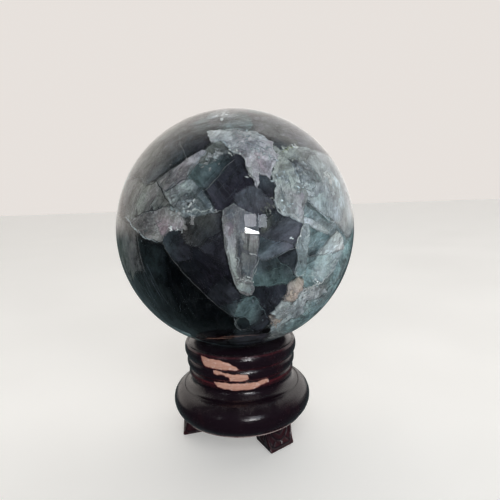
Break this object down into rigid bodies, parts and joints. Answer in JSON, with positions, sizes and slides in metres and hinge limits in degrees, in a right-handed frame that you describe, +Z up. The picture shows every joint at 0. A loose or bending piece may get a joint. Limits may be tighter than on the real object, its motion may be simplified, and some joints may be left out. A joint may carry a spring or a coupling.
{
  "type": "crystal ball",
  "caption": "Polished stone sphere resting loose in a turned and lacquered wooden stand on carved feet.",
  "frame": {"origin": "on the stand's axis, on the surface that its feet rest on", "axes": "+Z up along the axis of stand and ball; the front, with one foot to its right, faces -Y; +X is to its right"},
  "size_m": [0.1, 0.1, 0.14],
  "materials": {
    "fluorite": "polished translucent fluorite",
    "lacquered_wood": "dark gloss lacquer",
    "bare_wood": "bare hardwood"
  },
  "bodies": {
    "stand": {"seat_collar": "lacquered_wood", "plinth": "lacquered_wood", "foot_front_right": "lacquered_wood", "foot_left": "lacquered_wood", "foot_rear": "lacquered_wood", "foot_dowels": "bare_wood"},
    "ball": {"crystal_ball": "fluorite"}
  },
  "joints": [
    {"name": "ball_lift", "type": "slide", "parent": "stand", "child": "ball", "axis": [0, 0, 1], "range_m": [0, 0.08]}
  ]
}
